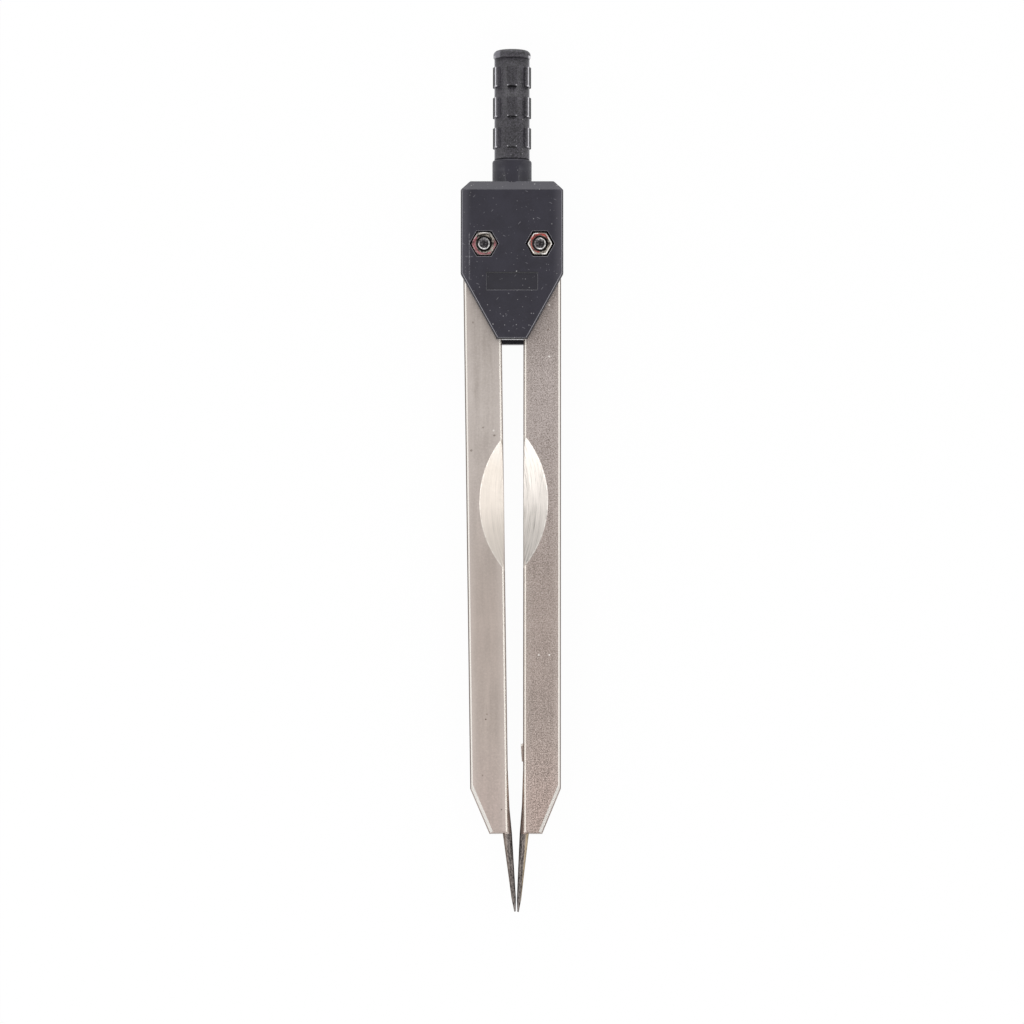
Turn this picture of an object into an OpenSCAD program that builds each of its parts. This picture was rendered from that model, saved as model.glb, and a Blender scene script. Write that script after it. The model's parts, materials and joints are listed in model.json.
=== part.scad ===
// Caliper divider: two flat metal legs with steel needles, hinged side by side in a black yoke under a
// short grip. Tooth sectors on the two heads mesh, so both legs open by the same angle.
// It lies on its back: +Y runs to the grip, +X to the right and +Z up to the face with the two nuts.
// The origin is at the middle of the length, on the surface that the back of the yoke rests on.

/* [Yoke] */
// Distance between the two pivots
pivot_spacing = 7.45; // [7:0.05:9]
// Distance from each pivot out to the side of the yoke
cheek_w = 3.1; // [3:0.05:4]
// Thickness of each of the two walls
yoke_wall = 1.45; // [1.3:0.05:2]
// Height of the yoke above the pivots
crown_h = 8.45; // [7.6:0.05:11]
// Drop of the straight sides below the pivots
cheek_drop = 4; // [3:0.1:5]
// Height of the tapered tail below the straight sides
tail_h = 8.75; // [6:0.05:11]
// How much further down the rear wall's tail reaches than the front wall's
rear_tail_more = 0.25; // [0:0.05:0.6]
// How much higher the rear wall's taper starts
rear_taper_rise = 0.85; // [0:0.05:1.2]
// Width of the flat end of the tail
tail_end_w = 4; // [3:0.1:6]
// Width of the cut corner on each side of the collar
corner_w = 1.25; // [0.6:0.05:1.8]
// Height of the cut corner
corner_h = 1.25; // [0.6:0.05:1.8]
// Height of the slope over the top of each face
brow_h = 1.25; // [0.6:0.05:1.6]
// How far the slope leans back from each face
brow_depth = 1; // [0.5:0.05:1.3]
// Bevel round the edge of each face
face_bevel = 0.2; // [0.1:0.05:0.3]
// Width of the bare recessed panel
panel_w = 6.8; // [5:0.1:7.5]
// Height of the panel
panel_h = 2.3; // [1.5:0.1:2.6]
// Distance from the pivots down to the middle of the panel
panel_drop = 5.05; // [4.5:0.05:6]
// Depth of the panel
panel_depth = 0.15; // [0.1:0.05:0.3]

/* [Collar and grip] */
// Diameter of the collar
collar_d = 5.26; // [5:0.02:6]
// Length of the collar
collar_l = 3.1; // [2.5:0.1:5]
// Rounding of the collar's top rim
collar_round = 0.4; // [0.1:0.05:0.4]
// Diameter of the grip between its pads
grip_d = 4.7; // [4.3:0.05:5]
// Length of the grip from the collar to the underside of its cap
grip_l = 13.6; // [13.2:0.1:20]
// Height of the pads above the grip
pad_stand = 0.31; // [0.15:0.01:0.4]
// Length of each pad
pad_l = 2.65; // [2:0.05:3]
// Distance from one row of pads to the next
pad_pitch = 4.1; // [3.6:0.05:4.3]
// Distance from the collar to the first row of pads
pad_start = 1.57; // [0.8:0.01:2]
// Angle that each pad spans
pad_span = 33; // [25:1:45]
// Number of rows of pads
pad_rows = 3; // [2:1:3]
// Number of pads round the grip
pads_round = 6; // [4:1:7]
// Diameter of the cap
cap_d = 5; // [4.8:0.05:6]
// Height of the cap
cap_h = 1.15; // [1:0.05:2]
// Rounding of the cap's upper edge
cap_round = 0.65; // [0.3:0.05:0.7]
// Rounding of the cap's lower edge
cap_lip = 0.25; // [0.1:0.05:0.3]
// Diameter of the stem that holds the grip in the yoke
stem_d = 3; // [2:0.1:3.4]
// Length of the stem
stem_l = 5.2; // [3.5:0.1:5.5]

/* [Legs] */
// Length of each leg from its pivot to its foot
leg_l = 78.4; // [70:0.2:100]
// Thickness of each leg
leg_t = 3.8; // [3.2:0.1:5]
// Distance from the pivot line to the outer edge
leg_outer = 2.84; // [2.6:0.02:2.95]
// Distance from the pivot line to the inner edge
leg_inner = 2.19; // [1.9:0.01:2.4]
// Distance from the pivot line to the outer corner of the foot
foot_outer = 0.36; // [0:0.02:1.4]
// Length of the taper above the foot
foot_taper_l = 6; // [4:0.1:10]
// Bevel along the edges of each face
leg_bevel = 0.2; // [0.1:0.05:0.4]
// Bevel along the tapered edge
taper_bevel = 0.4; // [0.2:0.02:0.6]
// How much the sides swell out from the bevels to the middle
leg_draft = 0.17; // [0.05:0.01:0.2]
// Radius of the finger scallop where it meets the face
scallop_r = 13.7; // [12:0.1:16]
// How far the scallop reaches across the face
scallop_reach = 3.3; // [2:0.1:3.5]
// Depth of the scallop at the inner edge
scallop_cut = 1.2; // [0.5:0.05:1.4]
// Distance from the left pivot down to the middle of its scallop
left_scallop_drop = 34.6; // [30:0.2:45]
// Distance from the right pivot down to the middle of its scallop
right_scallop_drop = 34.2; // [30:0.2:45]
// Length of the lip that covers the needle on the inner side
lip_l = 8.45; // [6:0.05:10]
// How far the lip stands out at the foot
lip_w = 0.26; // [0.1:0.02:0.3]
// Width of the lip over the thickness of the leg
lip_t = 2.6; // [2:0.1:3]
// Lean of the left leg toward the other in the stored pose
left_lean = 0.8; // [0:0.05:0.9]
// Lean of the right leg toward the other in the stored pose
right_lean = 0.06; // [0:0.02:0.5]

/* [Tooth sectors] */
// Number of teeth in a full turn
teeth = 15; // [14:1:18]
// Angle between a flank and the radius at the pitch circle
pressure_angle = 20; // [18:1:24]
// How far each leg opens
open_angle = 60; // [30:5:70]

/* [Needles] */
// Diameter of the needles
needle_d = 1.22; // [1:0.02:1.4]
// Length of a needle outside its leg
needle_out = 10.35; // [8:0.05:14]
// Length of a needle inside its leg
needle_in = 12.4; // [8:0.1:16]
// Length of the sharper point
point_l = 1.7; // [1.2:0.1:3]
// Diameter where the sharper point starts
point_d = 0.58; // [0.4:0.02:0.7]
// Diameter of the blunt tip
tip_d = 0.2; // [0.1:0.02:0.24]
// Distance from the pivot line to the needle at the foot
needle_side = 2.02; // [1.7:0.02:2.1]
// Lean of the left needle against its leg
left_needle_lean = 4.8; // [3:0.1:5]
// Lean of the right needle against its leg
right_needle_lean = 4.5; // [3:0.1:5]

/* [Pivots] */
// Diameter of the pivot screws
screw_d = 1.8; // [1.6:0.05:2]
// Diameter of the screw heads
head_d = 3.3; // [3:0.1:3.6]
// Height of the screw heads
head_h = 0.8; // [0.6:0.05:0.9]
// Depth of the screw heads below the back of the yoke
head_sink = 0.15; // [0.05:0.05:0.2]
// Width of the driver slot
driver_w = 0.45; // [0.3:0.05:0.6]
// Depth of the driver slot
driver_depth = 0.4; // [0.2:0.05:0.5]
// Width of the nuts across their flats
nut_flats = 3.1; // [2.9:0.05:3.4]
// Height of the nuts
nut_h = 0.9; // [0.7:0.05:1]
// Depth of the nuts below the face of the yoke
nut_sink = 0.12; // [0.05:0.01:0.2]
// Diameter of the friction washers
washer_d = 5; // [4:0.1:5.2]
// Thickness of the friction washers
washer_t = 0.15; // [0.1:0.05:0.3]

/* [Hidden] */
$fn = 64;

// Gap between a turning part and what it turns on
running_gap = 0.03;
// Gap between two pieces that are fixed together
seat_gap = 0.02;
// Gap between a screw head or a nut and the side of its pocket
pocket_gap = 0.12;
// Gap between the tips of the teeth and the ceiling of the slot
head_room = 0.3;
// Play between meshing flanks
backlash = 0.08;
// How far a cut runs past the surface that it opens
overrun = 0.4;
// How deep a joined shape reaches into its neighbour
root = 0.5;
// Flat left along the middle of each side of a leg
parting_w = 0.1;
// Bevel along the ends and corners of a pad
pad_bevel = 0.12;
// Bevel on the end of a screw, of a needle and round a screw head
end_bevel = 0.1;
// Flat ring left round the hole on the face of a nut
nut_land_share = 0.94;
// Slope of the cut corners of a nut
nut_corner_angle = 30;
// Raised metal where the right needle was staked: its rise, its width and its two ends above the foot
stake_rise = 0.3;
stake_t = 0.8;
stake_low = 9.6;
stake_high = 12.2;

// Tooth sizes as shares of the module
addendum_share = 0.8;
dedendum_share = 1.1;
// Steps that draw a flank of a tooth, and steps that draw a rounded edge
flank_steps = 5;
arc_steps = 6;

yoke_w = pivot_spacing + 2 * cheek_w;
slot_w = leg_t + 2 * washer_t + 2 * running_gap;
yoke_d = slot_w + 2 * yoke_wall;
mid_z = yoke_d / 2;
pivot_x = pivot_spacing / 2;

pitch_r = pivot_spacing / 2;
tooth_module = pivot_spacing / teeth;
tooth_angle = 360 / teeth;
tip_r = pitch_r + addendum_share * tooth_module;
root_r = pitch_r - dedendum_share * tooth_module;
base_r = pitch_r * cos(pressure_angle);
pitch_half_angle = (PI * tooth_module / 2 - backlash) / 2 / pitch_r * 180 / PI;
slot_top = tip_r + head_room;
slot_h = slot_top + cheek_drop + tail_h + rear_tail_more + overrun;

needle_rise = needle_out * max(cos(left_needle_lean), cos(right_needle_lean));
length_below = leg_l + needle_rise;
length_above = crown_h + collar_l + grip_l + cap_h;
pivot_y = (length_below - length_above) / 2;

nut_pocket = nut_h + nut_sink;
nut_z = yoke_d - nut_pocket;
head_pocket = head_h + head_sink;
screw_end_z = yoke_d - nut_sink;

// Vectors along and to the left of a line, and the point where two lines meet
function along(a, b) = (b - a) / norm(b - a);
function leftward(u) = [-u[1], u[0]];
function meet(p, u, q, v) = p + u * cross(q - p, v) / cross(u, v);
// Outline with each edge moved inward by its own step, for a convex outline in anticlockwise order
function inset(points, steps) = let (n = len(points)) [
    for (i = [0 : n - 1])
        let (
            last = (i + n - 1) % n,
            u = along(points[last], points[i]),
            v = along(points[i], points[(i + 1) % n])
        )
        meet(points[i] + leftward(u) * steps[last], u, points[i] + leftward(v) * steps[i], v)
];
function flip_x(points) = [for (i = [len(points) - 1 : -1 : 0]) [-points[i][0], points[i][1]]];
function polar(r, a) = [r * cos(a), r * sin(a)];
// Quarter round between two angles, for a turned profile
function arc_points(centre, r, from, to) = [
    for (i = [0 : arc_steps]) centre + polar(r, from + (to - from) * i / arc_steps)
];

// Involute of the base circle, and half the angle that a tooth spans at radius r, both in degrees
function involute(a) = tan(a) * 180 / PI - a;
function tooth_half(r) = let (turned = involute(acos(base_r / max(r, base_r))))
    pitch_half_angle + involute(pressure_angle) - turned;
function flank_r(i) = i < 0 ? root_r : base_r + (tip_r - base_r) * i / flank_steps;
function tooth_points(middle) = concat(
    [for (i = [-1 : flank_steps]) polar(flank_r(i), middle - tooth_half(flank_r(i)))],
    [for (i = [flank_steps : -1 : -1]) polar(flank_r(i), middle + tooth_half(flank_r(i)))]
);
// One side's sector: the first tooth lies before the line of centres, the last past the widest opening
function sector_points(phase_share) = let (
    first = (phase_share - 1) * tooth_angle,
    count = ceil(open_angle / tooth_angle) + 1
) concat(
    [[0, 0], polar(root_r, first - tooth_angle / 2)],
    [for (k = [0 : count]) each tooth_points(first + k * tooth_angle)],
    [polar(root_r, first + (count + 1 / 2) * tooth_angle)]
);

// Outline of one wall of the yoke, from the heights of its tail and of the start of its taper
function wall_outline(tail_y, taper_y) = let (half = [
    [tail_end_w / 2, tail_y],
    [yoke_w / 2, taper_y],
    [yoke_w / 2, crown_h - corner_h],
    [yoke_w / 2 - corner_w, crown_h]
]) concat(half, flip_x(half));
tail_y = -cheek_drop - tail_h;
front_outline = wall_outline(tail_y, -cheek_drop);
rear_outline = wall_outline(tail_y - rear_tail_more, rear_taper_rise - cheek_drop);
// Steps for the edges of the yoke: tail, side, corner, top, corner, side, tail, end
function yoke_steps(edge, corner, top) = [edge, edge, corner, top, corner, edge, edge, edge];

leg_outline = [
    [-leg_outer, 0],
    [-leg_outer, foot_taper_l - leg_l],
    [-foot_outer, -leg_l],
    [leg_inner, -leg_l],
    [leg_inner, 0]
];
// Steps for the edges of a leg: outer side, taper, foot, inner side, top
function leg_steps(side, taper) = [side, taper, side, side, 0];

// A slab between two heights, centred on the middle of the tool
module slab(outline, thickness) {
    translate([0, 0, -thickness / 2])
        linear_extrude(thickness)
            polygon(outline);
}

// Places a child that is drawn about a pivot; side is -1 for the left pivot and 1 for the right
module at_pivot(side) {
    translate([side * pivot_x, pivot_y, mid_z])
        if (side < 0)
            children();
        else
            mirror([1, 0, 0])
                children();
}

// Half of the yoke's block, from the middle out to one face
module half_block(outline) {
    edge_drop = brow_h * face_bevel / brow_depth;
    hull() {
        linear_extrude(mid_z)
            polygon(inset(outline, yoke_steps(face_bevel, brow_h / 3, brow_h)));
        linear_extrude(mid_z - face_bevel)
            polygon(inset(outline, yoke_steps(0, 0, brow_h - edge_drop)));
        linear_extrude(mid_z - brow_depth)
            polygon(outline);
    }
}

// Turned shapes stand on the top of the yoke, along +Y
module on_crown(rise) {
    translate([0, crown_h + rise, 0])
        rotate([-90, 0, 0])
            children();
}

module collar() {
    r = collar_d / 2;
    on_crown(0)
        rotate_extrude()
            polygon(concat(
                [[0, -root], [r, -root]],
                arc_points([r - collar_round, collar_l - collar_round], collar_round, 0, 90),
                [[0, collar_l]]
            ));
}

module yoke() {
    color([0.26, 0.25, 0.27])
        translate([0, pivot_y, mid_z])
            difference() {
                union() {
                    half_block(front_outline);
                    mirror([0, 0, 1])
                        half_block(rear_outline);
                    collar();
                }
                translate([-yoke_w / 2 - overrun, slot_top - slot_h, -slot_w / 2])
                    cube([yoke_w + 2 * overrun, slot_h, slot_w]);
                on_crown(collar_l - stem_l - seat_gap)
                    cylinder(h = stem_l + seat_gap + overrun, d = stem_d + 2 * seat_gap);
                translate([-panel_w / 2, -panel_drop - panel_h / 2, mid_z - panel_depth])
                    cube([panel_w, panel_h, panel_depth + overrun]);
                for (side = [-1, 1])
                    translate([side * pivot_x, 0, -mid_z])
                        pivot_cuts();
            }
}

// Hole for one screw with the round pocket of its head at the back and the hex pocket of its nut in front
module pivot_cuts() {
    cylinder(h = yoke_d, d = screw_d + 2 * running_gap);
    translate([0, 0, -overrun])
        cylinder(h = head_pocket + overrun, d = head_d + 2 * pocket_gap);
    translate([0, 0, nut_z])
        hex_prism(nut_flats + 2 * pocket_gap, nut_pocket + overrun);
}

module hex_prism(flats, h) {
    cylinder(h = h, d = flats / cos(30), $fn = 6);
}

module grip_body() {
    r = grip_d / 2;
    cap_r = cap_d / 2;
    stem_r = stem_d / 2;
    rotate_extrude()
        polygon(concat(
            [[0, -stem_l], [stem_r - end_bevel, -stem_l], [stem_r, end_bevel - stem_l], [stem_r, 0]],
            [[r, 0], [r, grip_l], [cap_r - cap_lip, grip_l]],
            arc_points([cap_r - cap_lip, grip_l + cap_lip], cap_lip, -90, 0),
            arc_points([cap_r - cap_round, grip_l + cap_h - cap_round], cap_round, 0, 90),
            [[0, grip_l + cap_h]]
        ));
}

module pad() {
    inner = grip_d / 2 - pad_stand;
    outer = grip_d / 2 + pad_stand;
    rotate([0, 0, -pad_span / 2])
        rotate_extrude(angle = pad_span)
            polygon([
                [inner, 0], [outer - pad_bevel, 0], [outer, pad_bevel],
                [outer, pad_l - pad_bevel], [outer - pad_bevel, pad_l], [inner, pad_l]
            ]);
}

module grip() {
    color([0.29, 0.28, 0.30])
        translate([0, pivot_y, mid_z])
            on_crown(collar_l) {
                grip_body();
                for (row = [0 : pad_rows - 1], i = [0 : pads_round - 1])
                    translate([0, 0, pad_start + row * pad_pitch])
                        rotate([0, 0, i * 360 / pads_round - 90])
                            pad();
            }
}

module blade() {
    hull() {
        slab(inset(leg_outline, leg_steps(leg_draft + leg_bevel, leg_draft + taper_bevel)), leg_t);
        slab(inset(leg_outline, leg_steps(leg_draft, leg_draft)), leg_t - 2 * leg_bevel);
        slab(leg_outline, parting_w);
    }
    lip();
}

// The inner side swells over the needle toward the foot
module lip() {
    hull() {
        slab([[leg_inner - root, lip_l - leg_l], [leg_inner - root, -leg_l], [leg_inner, -leg_l]], lip_t);
        slab([[leg_inner - root, lip_l - leg_l], [leg_inner - root, -leg_l],
            [leg_inner + lip_w, -leg_l], [leg_inner, lip_l - leg_l]], needle_d);
    }
}

module stake() {
    slab([
        [leg_inner - root, stake_low - leg_l], [leg_inner + stake_rise / 2, stake_low - leg_l],
        [leg_inner + stake_rise, stake_high - stake_rise - leg_l], [leg_inner - root, stake_high - leg_l]
    ], stake_t);
}

// Conical cut on the front face, deepest at the inner edge; its arc is concentric with the milling marks
module scallop(drop) {
    inner_r = scallop_r - scallop_reach;
    slope = scallop_reach / scallop_cut;
    translate([leg_inner + inner_r, -drop, leg_t / 2 - scallop_cut])
        cylinder(h = scallop_cut + overrun, r1 = inner_r, r2 = scallop_r + slope * overrun, $fn = 128);
}

// Stands a turned shape at the foot, pointing out along the needle
module at_foot(needle_lean) {
    translate([needle_side, -leg_l, 0])
        rotate([0, 0, needle_lean])
            rotate([90, 0, 0])
                children();
}

// A leg about its own pivot, drawn as the left one: the blade hangs along -Y and its inner side faces +X
module leg(lean, needle_lean, drop, phase_share, staked) {
    difference() {
        union() {
            cylinder(h = leg_t, r = leg_outer, center = true);
            slab(sector_points(phase_share), leg_t);
            rotate([0, 0, lean]) {
                blade();
                if (staked)
                    stake();
            }
        }
        cylinder(h = leg_t + 2 * overrun, d = screw_d + 2 * running_gap, center = true);
        rotate([0, 0, lean]) {
            scallop(drop);
            mirror([0, 0, 1])
                scallop(drop);
            at_foot(needle_lean)
                translate([0, 0, -needle_in - seat_gap])
                    cylinder(h = needle_in + seat_gap + overrun, d = needle_d + 2 * seat_gap, $fn = 32);
        }
    }
}

module needle(lean, needle_lean) {
    r = needle_d / 2;
    rotate([0, 0, lean])
        at_foot(needle_lean)
            rotate_extrude($fn = 32)
                polygon([
                    [0, -needle_in], [r - end_bevel, -needle_in], [r, end_bevel - needle_in], [r, 0],
                    [point_d / 2, needle_out - point_l], [tip_d / 2, needle_out], [0, needle_out]
                ]);
}

module left_leg() {
    color([0.72, 0.68, 0.65])
        at_pivot(-1)
            leg(left_lean, left_needle_lean, left_scallop_drop, 0, false);
}

module right_leg() {
    color([0.68, 0.64, 0.61])
        at_pivot(1)
            leg(right_lean, right_needle_lean, right_scallop_drop, 1 / 2, true);
}

module left_needle() {
    color([0.33, 0.31, 0.30])
        at_pivot(-1)
            needle(left_lean, left_needle_lean);
}

module right_needle() {
    color([0.33, 0.31, 0.30])
        at_pivot(1)
            needle(right_lean, right_needle_lean);
}

module screw() {
    head_top = head_sink + head_h;
    color([0.45, 0.45, 0.46])
        difference() {
            rotate_extrude($fn = 48)
                polygon([
                    [0, head_sink], [head_d / 2 - end_bevel, head_sink],
                    [head_d / 2, head_sink + end_bevel], [head_d / 2, head_top],
                    [screw_d / 2, head_top], [screw_d / 2, screw_end_z - end_bevel],
                    [screw_d / 2 - end_bevel, screw_end_z], [0, screw_end_z]
                ]);
            translate([-head_d, -driver_w / 2, head_sink - overrun])
                cube([2 * head_d, driver_w, driver_depth + overrun]);
        }
}

// Hex nut with its outer corners turned down, sitting on the floor of its pocket
module nut() {
    flat_r = nut_flats / 2 * nut_land_share;
    cone_l = nut_flats;
    color([0.66, 0.64, 0.60])
        translate([0, 0, nut_z])
            difference() {
                intersection() {
                    hex_prism(nut_flats, nut_h);
                    translate([0, 0, nut_h - cone_l])
                        cylinder(h = cone_l, r1 = flat_r + cone_l / tan(nut_corner_angle), r2 = flat_r);
                }
                translate([0, 0, -overrun])
                    cylinder(h = nut_h + 2 * overrun, d = screw_d + 2 * seat_gap, $fn = 48);
            }
}

module washer(z) {
    color([0.82, 0.74, 0.55])
        translate([0, 0, z])
            difference() {
                cylinder(h = washer_t, d = washer_d);
                translate([0, 0, -overrun])
                    cylinder(h = washer_t + 2 * overrun, d = screw_d + 4 * running_gap);
            }
}

module at_screw(side) {
    translate([side * pivot_x, pivot_y, 0])
        children();
}

module left_screw() {
    at_screw(-1)
        screw();
}

module right_screw() {
    at_screw(1)
        screw();
}

module left_nut() {
    at_screw(-1)
        nut();
}

module right_nut() {
    at_screw(1)
        nut();
}

module front_left_washer() {
    at_screw(-1)
        washer(yoke_d - yoke_wall - washer_t);
}

module front_right_washer() {
    at_screw(1)
        washer(yoke_d - yoke_wall - washer_t);
}

module rear_left_washer() {
    at_screw(-1)
        washer(yoke_wall);
}

module rear_right_washer() {
    at_screw(1)
        washer(yoke_wall);
}

yoke();
grip();
left_leg();
right_leg();
left_needle();
right_needle();
left_screw();
right_screw();
left_nut();
right_nut();
front_left_washer();
front_right_washer();
rear_left_washer();
rear_right_washer();
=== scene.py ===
# %% [markdown]
# # Dressing a caliper divider
# The tool is a pair of flat metal legs with steel needles, hinged side by side in a black plastic yoke
# under a short grip. The frame brings the exact solids. This lesson gives them their edges, threads and
# finishes, and lights them on a white table. Lengths are written in millimetres and turned into metres.

# %% Load the frame
import json
import math
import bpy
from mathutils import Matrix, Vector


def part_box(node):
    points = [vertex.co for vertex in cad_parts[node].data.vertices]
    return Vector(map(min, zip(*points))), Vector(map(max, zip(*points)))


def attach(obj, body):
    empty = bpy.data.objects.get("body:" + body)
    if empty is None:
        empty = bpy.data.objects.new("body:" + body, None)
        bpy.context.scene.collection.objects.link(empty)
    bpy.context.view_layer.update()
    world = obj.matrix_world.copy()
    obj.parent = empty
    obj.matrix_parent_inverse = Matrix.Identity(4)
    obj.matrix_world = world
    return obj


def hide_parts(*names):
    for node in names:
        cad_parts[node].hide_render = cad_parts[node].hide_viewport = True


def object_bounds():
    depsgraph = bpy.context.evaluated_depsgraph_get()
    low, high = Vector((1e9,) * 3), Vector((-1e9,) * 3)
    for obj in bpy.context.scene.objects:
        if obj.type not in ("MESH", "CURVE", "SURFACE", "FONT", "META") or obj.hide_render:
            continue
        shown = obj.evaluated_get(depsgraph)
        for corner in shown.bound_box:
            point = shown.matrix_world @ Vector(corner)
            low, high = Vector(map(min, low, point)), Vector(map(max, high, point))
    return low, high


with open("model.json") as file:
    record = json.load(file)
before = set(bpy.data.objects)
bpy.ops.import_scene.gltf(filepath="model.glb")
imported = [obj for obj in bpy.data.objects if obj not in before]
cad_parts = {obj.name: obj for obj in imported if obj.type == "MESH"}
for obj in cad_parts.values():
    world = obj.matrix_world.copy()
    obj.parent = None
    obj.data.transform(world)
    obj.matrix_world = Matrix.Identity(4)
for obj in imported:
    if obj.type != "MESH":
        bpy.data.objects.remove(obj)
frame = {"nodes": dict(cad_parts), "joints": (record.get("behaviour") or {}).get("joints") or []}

from types import SimpleNamespace

import bmesh
import bpy
from mathutils import Matrix, Vector

MM = 0.001
cad_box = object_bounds()
low, high = cad_box
print("the frame measures", [round(s / MM, 2) for s in high - low], "mm")

# %% [markdown]
# ## The camera
# The photograph is taken almost straight down on the tool, from a little way toward the needles: the
# end of the yoke's tail just shows, and the far ends grow slightly smaller. A camera 600 mm off, tilted
# 3 degrees, gives both. It is made first, so that every later step is judged through it.

# %% Camera
VIEW_DISTANCE = 600
VIEW_TILT = 3
VIEW_WIDTH = 136.53
SENSOR = 36
AIM_FROM_TIPS = 53.15

camera = bpy.data.objects.new("camera", bpy.data.cameras.new("camera"))
bpy.context.scene.collection.objects.link(camera)
bpy.context.scene.camera = camera
camera.data.sensor_width = SENSOR
camera.data.lens = SENSOR * VIEW_DISTANCE / VIEW_WIDTH
camera.data.clip_start = 10 * MM
camera.data.clip_end = 10000 * MM
camera.rotation_euler = (math.radians(VIEW_TILT), 0, 0)

middle_height = (low.z + high.z) / 2
aim = Vector((0, low.y + AIM_FROM_TIPS * MM, middle_height))
backward = Vector((0, -math.sin(math.radians(VIEW_TILT)), math.cos(math.radians(VIEW_TILT))))
camera.location = aim + backward * VIEW_DISTANCE * MM
print("camera at", [round(c / MM, 1) for c in camera.location], "mm, lens", round(camera.data.lens, 1))

# %% [markdown]
# ## Growing node trees from Python
# Every material and every Geometry Nodes tree below is built with one small pair of classes. `Value`
# wraps a socket, and Python's operators on it add Math nodes, so a mask is written as the formula that
# it is. `Graph.node` adds any other node: its type, its settings, then the values or links of its inputs.

# %% Node graphs
class Value:
    """A socket of a node tree that Python's arithmetic can use."""

    def __init__(self, graph, socket):
        self.graph, self.socket = graph, socket

    def __getitem__(self, name):
        return Value(self.graph, self.socket.node.outputs[name])

    def math(self, operation, *terms):
        return self.graph.node("ShaderNodeMath", {"operation": operation}, dict(enumerate(terms)))

    def most(self, other):
        return self.math("MAXIMUM", self, other)

    def __add__(self, other):
        return self.math("ADD", self, other)

    __radd__ = __add__

    def __sub__(self, other):
        return self.math("SUBTRACT", self, other)

    def __rsub__(self, other):
        return self.math("SUBTRACT", other, self)

    def __mul__(self, other):
        return self.math("MULTIPLY", self, other)

    __rmul__ = __mul__

    def __truediv__(self, other):
        return self.math("DIVIDE", self, other)

    def __pow__(self, other):
        return self.math("POWER", self, other)

    def __abs__(self):
        return self.math("ABSOLUTE", self)

    def ramp(self, start, end):
        """Smoothly from 0 at start to 1 at end."""
        inputs = {"Value": self, "From Min": start, "From Max": end}
        return self.graph.node("ShaderNodeMapRange", {"interpolation_type": "SMOOTHSTEP"}, inputs)


class Graph:
    """A node tree being grown, for a material or for Geometry Nodes."""

    def __init__(self, tree):
        self.tree = tree

    def node(self, kind, settings=None, inputs=None, out=0):
        made = self.tree.nodes.new(kind)
        for name, setting in (settings or {}).items():
            setattr(made, name, setting)
        for name, value in (inputs or {}).items():
            if isinstance(value, Value):
                self.tree.links.new(value.socket, made.inputs[name])
            else:
                made.inputs[name].default_value = value
        return Value(self, made.outputs[out]) if made.outputs else made


def tint(red, green, blue):
    """A colour as it looks on a screen, 0 to 255, turned into the linear values that Blender mixes."""
    return tuple(((c / 255 + 0.055) / 1.055) ** 2.4 for c in (red, green, blue)) + (1,)


print("a middle grey of 128 is mixed as", round(tint(128, 128, 128)[0], 3))

# %% [markdown]
# A finish is a material with one Principled shader. `mix`, `grain` and `bump` are the three things that
# each finish below asks for again and again: a blend of two colours by a mask, a noise, and a height
# that only the light sees. `place` gives the point being shaded in millimetres, in the piece's own
# coordinates, so a pattern stays on its piece when the legs open. `facing` tells flat faces from bevels
# and sides, so that one finish can rub an edge pale and leave the face beside it dark.

# %% Finishes
class Finish(Graph):
    """A material with one Principled shader. Its sockets are named with _ in place of each space."""

    def __init__(self, name, **constants):
        self.material = bpy.data.materials.new(name)
        self.material.use_nodes = True
        super().__init__(self.material.node_tree)
        self.tree.nodes.clear()
        self.shader = self.node("ShaderNodeBsdfPrincipled", inputs={
            label.replace("_", " "): value for label, value in constants.items()})
        self.node("ShaderNodeOutputMaterial", inputs={"Surface": self.shader})

    def set(self, **inputs):
        for label, value in inputs.items():
            self.tree.links.new(value.socket, self.shader.socket.node.inputs[label.replace("_", " ")])

    def place(self, origin=(0, 0, 0), turn=0, flip=1):
        """The shaded point in millimetres from an origin, turned and, with flip -1, seen in a mirror."""
        point = self.node("ShaderNodeTexCoord")["Object"]
        return self.node("ShaderNodeMapping", {"vector_type": "TEXTURE"}, {
            "Vector": point, "Location": origin, "Rotation": (0, 0, turn), "Scale": (MM * flip, MM, MM),
        })

    def split(self, vector):
        parts = self.node("ShaderNodeSeparateXYZ", inputs={0: vector})
        return parts["X"], parts["Y"], parts["Z"]

    def join(self, x, y, z):
        return self.node("ShaderNodeCombineXYZ", inputs={0: x, 1: y, 2: z})

    def mix(self, mask, first, second):
        return self.node("ShaderNodeMix", {"data_type": "RGBA"}, {0: mask, 6: first, 7: second}, out=2)

    def grain(self, vector, scale, detail=2, roughness=0.5):
        return self.node("ShaderNodeTexNoise", inputs={
            "Vector": vector, "Scale": scale, "Detail": detail, "Roughness": roughness,
        })

    def bump(self, height, distance):
        """Height is in units of distance, which is in millimetres."""
        return self.node("ShaderNodeBump", inputs={
            "Height": height, "Distance": distance * MM, "Strength": 1,
        })

    def facing(self):
        """How far the surface faces up or down, 1 on a face and 0 on an upright side, and how far it
        faces the grip, -1 where it faces the needles."""
        y, z = self.split(self.node("ShaderNodeTexCoord")["Normal"])[1:]
        return abs(z), y


def dress(node, finish):
    """Gives a CAD node its finish in the slots that it already has."""
    for slot in frame["nodes"][node].material_slots:
        slot.material = finish.material


# %% [markdown]
# ## Table and light
# A product photograph of bare metal is taken in a light tent: white walls close round the object, which
# the slanted edges mirror as bright lines, and a dimmer ceiling, which the flat faces mirror. Four upright
# soft boxes are the walls, a broad one high over the needles is the ceiling, three slim ones under it draw
# the lines along the round collar, and the world fills in the rest. What the camera and the reflections
# see of the table and the room is white; the light on the object stays plain.

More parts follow.
